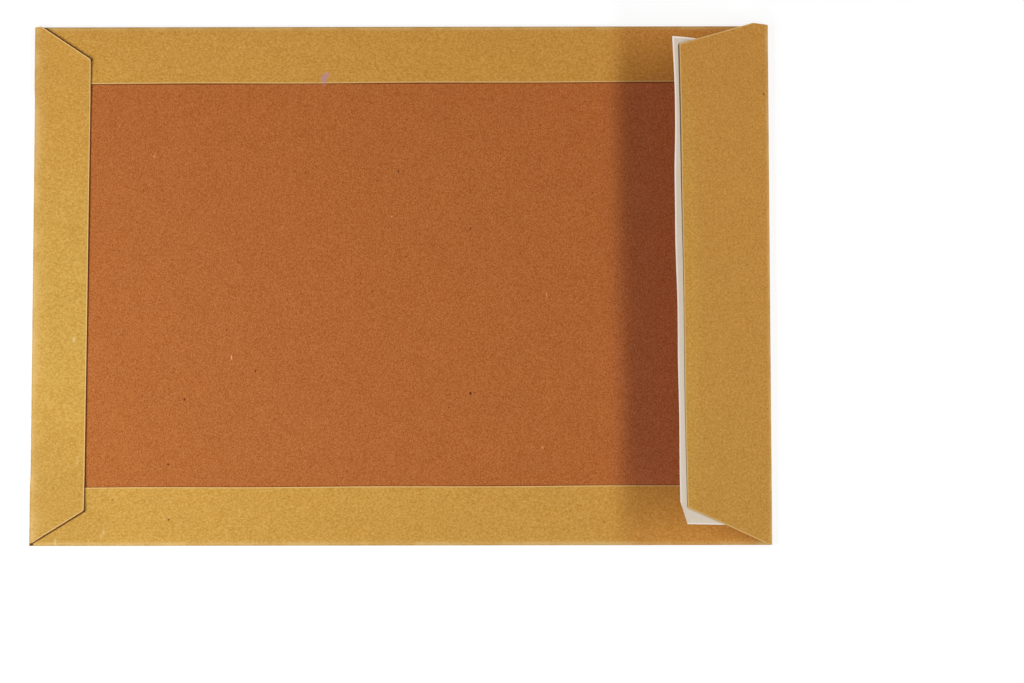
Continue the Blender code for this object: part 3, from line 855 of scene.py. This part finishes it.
def manilla_material(colour, levels, sizes):
    """Golden manilla paper: mottled fibre, sparse flecks and pale fibres, with painted highlights along
    cuts and creases, uneven along creases like wear. It also has painted light and shade: a yellower drift
    and patches, a redder tone under the sealing flap, and dark lines beside the end flap's cuts.
    """
    finish = Finish("manilla_paper_finish", roughness=0.72, specular=0.25, per_metre={})
    finish.start(colour, swing=(0.125, 0.11, 0.045), cloud_depth=0.02)
    # Painted light: yellower towards the closed end and the lower side, where the light is stronger.
    finish.drift(slope=(-0.36, -0.4, 0))
    # Painted shade colour: a redder tone where the sealing flap's shade falls.
    finish.shade(scales=(1.09, 0.96, 0.96))
    # Painted light and shade: yellower at the closed end, darker at its lower corner, and brighter along
    # the sealing flap's free edge.
    finish.patch((-0.15, -0.004, 0), radii=(0.04, 0.08, 0.04), scales=(1.0, 1.06, 1.09))
    finish.patch((-0.158, -0.112, 0), radii=(0.038, 0.062, 0.04), scales=(0.91, 0.92, 0.93))
    finish.patch((0.124, -0.01, 0.027), radii=(0.01, 0.13, 0.01), scales=(1.04, 1.1, 1.09))
    finish.speckle(fleck=(0.2, 0.085, 0.02), fleck_share=0.55, fibre=(0.78, 0.5, 0.16), fibre_share=0.2)
    # Painted highlights along creases, made uneven like wear, and along cuts.
    crease_highlight_and_wear = product(finish.attribute("crease"),
                   ramp(finish.fibre["Cloud"], span=(0.35, 0.65), result=(0.2, 0.5)))
    cut = finish.near_cut(span=(0.2 * MM, 0.65 * MM), share=0.68)
    finish.lay((0.8, 0.55, 0.22), combine("MAXIMUM", crease_highlight_and_wear, cut))
    # Painted shade: dark lines on the side flaps beside the end flap's slanted cuts and free edge.
    starts, tips = end_flap_corners(levels, sizes)
    finish.paint_edge_shade((*zip(starts, tips), tips), half_widths=(0.9 * MM, 0.95 * MM, 0.55 * MM),
                shares=(0.85, 0.88, 0.6), low=levels.side - 0.4 * MM, high=levels.side + 0.25 * MM)
    finish.mark(MARKS_ON_PAPER, levels.side, MARK_DEPTH)
    # Painted shade in the corner gap.
    finish.mark(PAINTED_SHADE_AT_CORNER, levels.side / 2, FOLD_MARK_DEPTH)
    finish.mark(MARKS_ON_FLAP_FOLD, FLAP_FOLD_MARK_Z, FOLD_MARK_DEPTH)
    return finish.done("Height", strength=0.35, distance=0.05 * MM)


def chipboard_material(colour, levels, sizes):
    """Red-brown chipboard: finer grain, with dark and light flecks of recycled fibre. It also has a painted
    light drift, a painted shade tone under the sealing flap and painted shade lines beside the flaps'
    edges.
    """
    finish = Finish("chipboard_finish", roughness=0.85, specular=0.15, per_metre={
        "Grain per metre": (2000, 1500, 1700), "Clouds per metre": 85.0, "Flecks per metre": 380.0,
        "Fibres per metre": 800.0})
    finish.start(colour, swing=(0.16, 0.096, 0.04), cloud_depth=0.02)
    # Painted light: yellower towards the closed end and the lower side, where the light is stronger.
    finish.drift(slope=(-0.2, -0.2, 0))
    # Painted shade colour: a lighter, bluer tone where the sealing flap's shade falls.
    finish.shade(scales=(1.13, 1.05, 1.55))
    finish.speckle(fleck=(0.16, 0.035, 0.015), fleck_share=0.6, fibre=(0.7, 0.3, 0.1), fibre_share=0.22)
    # Painted shade: dark lines on the board beside the end flap's free edge and the side flaps' edges.
    _, tips = end_flap_corners(levels, sizes)
    finish.paint_edge_shade((tips, side_flap_edge(levels, 1, sizes.upper_side),
                 side_flap_edge(levels, -1, sizes.lower_side)),
                half_widths=(0.7 * MM, 0.6 * MM, 0.55 * MM), shares=(0.6, 0.65, 0.35),
                low=BOARD_HIGH.z - 0.2 * MM, high=BOARD_HIGH.z + 0.2 * MM)
    finish.mark(MARKS_ON_BOARD, BOARD_HIGH.z, MARK_DEPTH)
    return finish.done("Height", strength=0.45, distance=0.06 * MM)


def liner_material(colour):
    """Off-white siliconised paper: nearly even, with a low sheen, painted shade that darkens it towards its
    upper end, and painted highlights along its cuts.
    """
    finish = Finish("release_liner_finish", roughness=0.38, specular=0.45,
                    per_metre={"Clouds per metre": 140.0})
    finish.start(colour, swing=(0.02, 0.02, 0.02), cloud_depth=0.02)
    # Painted shade: darker towards the upper end.
    finish.scale(ramp(finish.parts["Y"], span=(-0.07, 0.08)), scales=(0.83, 0.79, 0.76))
    # Painted highlight along the liner's cuts.
    finish.lay((0.95, 0.86, 0.76), finish.near_cut(span=(0.4 * MM, 0.9 * MM), share=0.8))
    return finish.done("Cloud", strength=0.15, distance=0.1 * MM)


def film_material(name, colour, roughness):
    """A glue film: near even, softly clouded and a little glossy."""
    finish = Finish(name, roughness, specular=0.5, per_metre={"Clouds per metre": 260.0})
    finish.start(colour, swing=(0.02, 0.02, 0.01), cloud_depth=0.08)
    return finish.done("Cloud", strength=0.4, distance=0.1 * MM)


class ENVELOPE_OT_wrapper(bpy.types.Operator):
    """Fold the manilla sheet: front panel, side flaps, end flap and sealing flap"""

    bl_idname = "envelope.wrapper"
    bl_label = "Paper wrapper"

    def execute(self, context):
        sizes = context.scene.envelope_sizes
        levels = Levels(sizes)
        grids = front_panel(levels) + [
            side_flap(levels, 1, sizes.upper_side), side_flap(levels, -1, sizes.lower_side),
            end_flap(levels, sizes), sealing_flap(levels, sizes)]
        piece = make_sheet("folded_wrapper", grids, sizes.paper, ("cut", "crease"),
                           manilla_material(context.scene.envelope_colours.manilla, levels, sizes))
        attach(piece, "root")
        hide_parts("paper_wrapper")
        return {"FINISHED"}


class ENVELOPE_OT_board(bpy.types.Operator):
    """Finish the backing board"""

    bl_idname = "envelope.board"
    bl_label = "Backing board"

    def execute(self, context):
        sizes = context.scene.envelope_sizes
        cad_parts["backing_board"].material_slots[0].material = chipboard_material(
            context.scene.envelope_colours.chipboard, Levels(sizes), sizes)
        return {"FINISHED"}


class ENVELOPE_OT_liner(bpy.types.Operator):
    """Lay the release liner over the adhesive on the inside of the sealing flap"""

    bl_idname = "envelope.liner"
    bl_label = "Release liner"

    def execute(self, context):
        sizes = context.scene.envelope_sizes
        form = FlapForm(sizes)
        drop = sizes.paper / 2 + 2 * FACE_GAP + HOT_MELT + LINER / 2
        piece = make_sheet("peel_off_liner", [release_liner(form, sizes, drop)], LINER, ("cut",),
                           liner_material(context.scene.envelope_colours.liner))
        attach(piece, "root")
        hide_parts("release_liner")
        return {"FINISHED"}


class ENVELOPE_OT_glue(bpy.types.Operator):
    """Lay the adhesive band and finish the glue lines of the flaps"""

    bl_idname = "envelope.glue"
    bl_label = "Adhesive and gum"

    def execute(self, context):
        sizes = context.scene.envelope_sizes
        colours = context.scene.envelope_colours
        form = FlapForm(sizes)
        drop = sizes.paper / 2 + FACE_GAP + HOT_MELT / 2
        piece = make_sheet("adhesive_band", [adhesive_band(form, sizes, drop)], HOT_MELT, ("body",),
                           film_material("adhesive_finish", colours.adhesive, roughness=0.25))
        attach(piece, "root")
        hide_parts("adhesive_strip")
        gum = film_material("gum_finish", colours.gum, roughness=0.5)
        for node in ("upper_side_gum", "lower_side_gum", "end_flap_gum"):
            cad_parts[node].material_slots[0].material = gum
        return {"FINISHED"}


def seen_by_camera(tree):
    """1 for rays from the camera, off a gloss or through glass, and 0 for the rays that light things."""
    path = add_node(tree, "ShaderNodeLightPath").outputs
    glossy = combine("MAXIMUM", path["Is Camera Ray"], path["Is Glossy Ray"])
    return combine("MAXIMUM", glossy, path["Is Transmission Ray"])


def make_floor():
    """The pale table: to the camera it is nearly white and keeps the object's shadow."""
    finish = bpy.data.materials.new("table_white")
    finish.use_nodes = True
    tree = finish.node_tree
    tree.nodes.clear()
    plain, soft = (add_node(tree, "ShaderNodeBsdfDiffuse", {"Color": (grey, grey, grey, 1)}).outputs[0]
                   for grey in (TABLE_GREY, TABLE_SHADOW_GREY))
    glow = add_node(tree, "ShaderNodeEmission", {"Color": (1, 1, 1, 1), "Strength": TABLE_GLOW})
    shown = reading("ShaderNodeAddShader", {0: soft, 1: glow.outputs[0]})[0]
    mixed = reading("ShaderNodeMixShader", {0: seen_by_camera(tree), 1: plain, 2: shown})[0]
    reading("ShaderNodeOutputMaterial", {"Surface": mixed})
    mesh = bpy.data.meshes.new("table")
    mesh.from_pydata([(x * TABLE_HALF, y * TABLE_HALF, TABLE_Z)
                      for x, y in ((-1, -1), (1, -1), (1, 1), (-1, 1))], [], [(0, 1, 2, 3)])
    mesh.materials.append(finish)
    table = add_object("table", mesh)


def make_world(fill):
    """White to the camera, and a fill light of the given strength on everything else."""
    world = bpy.data.worlds.new("studio")
    world.use_nodes = True
    tree = world.node_tree
    background = tree.nodes["Background"].inputs
    background["Color"].default_value = (1, 1, 1, 1)
    strength = combine("ADD", combine("MULTIPLY", seen_by_camera(tree), 1 - fill), fill)
    tree.links.new(strength, background["Strength"])
    bpy.context.scene.world = world


def make_lamp(name, place, size, watts):
    """A soft rectangular lamp that faces the middle of the envelope, its long side along Y."""
    data = bpy.data.lights.new(name, "AREA")
    data.shape = "RECTANGLE"
    data.size, data.size_y = size
    data.energy = watts
    lamp = add_object(name, data)
    lamp.location = place
    lamp.rotation_euler = (-Vector(place)).to_track_quat("-Z", "Y").to_euler()


def make_camera(lens):
    """The camera, where the photo was taken from."""
    data = bpy.data.cameras.new("camera")
    data.lens = lens
    data.sensor_width = 36
    camera = add_object("camera", data)
    camera.location = (0.0514, -0.1479, 1.4)
    camera.rotation_euler = [math.radians(angle) for angle in (5.009, 0.118, -0.083)]
    bpy.context.scene.camera = camera


class ENVELOPE_OT_stage(bpy.types.Operator):
    """Set the table, the two lamps, the fill light and the camera"""

    bl_idname = "envelope.stage"
    bl_label = "Stage"

    def execute(self, context):
        stage = context.scene.envelope_stage
        make_floor()
        make_world(stage.fill)
        make_lamp("left_lamp", (-0.42, -0.14, 0.42), size=(0.45, 0.12), watts=stage.left_watts)
        make_lamp("right_lamp", (0.86, -0.1, 0.86), size=(2.0, 0.19), watts=stage.right_watts)
        make_camera(stage.lens)
        context.scene.view_settings.view_transform = "Standard"
        return {"FINISHED"}


class ENVELOPE_PT_tools(bpy.types.Panel):
    """The envelope's pieces and stage in the sidebar"""

    bl_label = "Board-backed envelope"
    bl_space_type = "VIEW_3D"
    bl_region_type = "UI"
    bl_category = "Envelope"

    def draw(self, context):
        layout = self.layout
        for step in STEPS:
            layout.operator(step.bl_idname)
        for group in SETTINGS:
            settings = getattr(context.scene, group)
            for name in settings.__annotations__:
                layout.prop(settings, name)


STEPS = (ENVELOPE_OT_wrapper, ENVELOPE_OT_board, ENVELOPE_OT_liner, ENVELOPE_OT_glue, ENVELOPE_OT_stage)
SETTINGS = {"envelope_sizes": EnvelopeSizes, "envelope_colours": EnvelopeColours,
            "envelope_stage": EnvelopeStage}


def register():
    for kind in (*SETTINGS.values(), *STEPS, ENVELOPE_PT_tools):
        bpy.utils.register_class(kind)
    for name, kind in SETTINGS.items():
        setattr(bpy.types.Scene, name, bpy.props.PointerProperty(type=kind))


def unregister():
    for name in SETTINGS:
        delattr(bpy.types.Scene, name)
    for kind in (ENVELOPE_PT_tools, *reversed(STEPS), *reversed(SETTINGS.values())):
        bpy.utils.unregister_class(kind)


def main():
    register()
    bpy.ops.envelope.wrapper()
    bpy.ops.envelope.board()
    bpy.ops.envelope.liner()
    bpy.ops.envelope.glue()
    bpy.ops.envelope.stage()


if __name__ == "__main__":
    main()
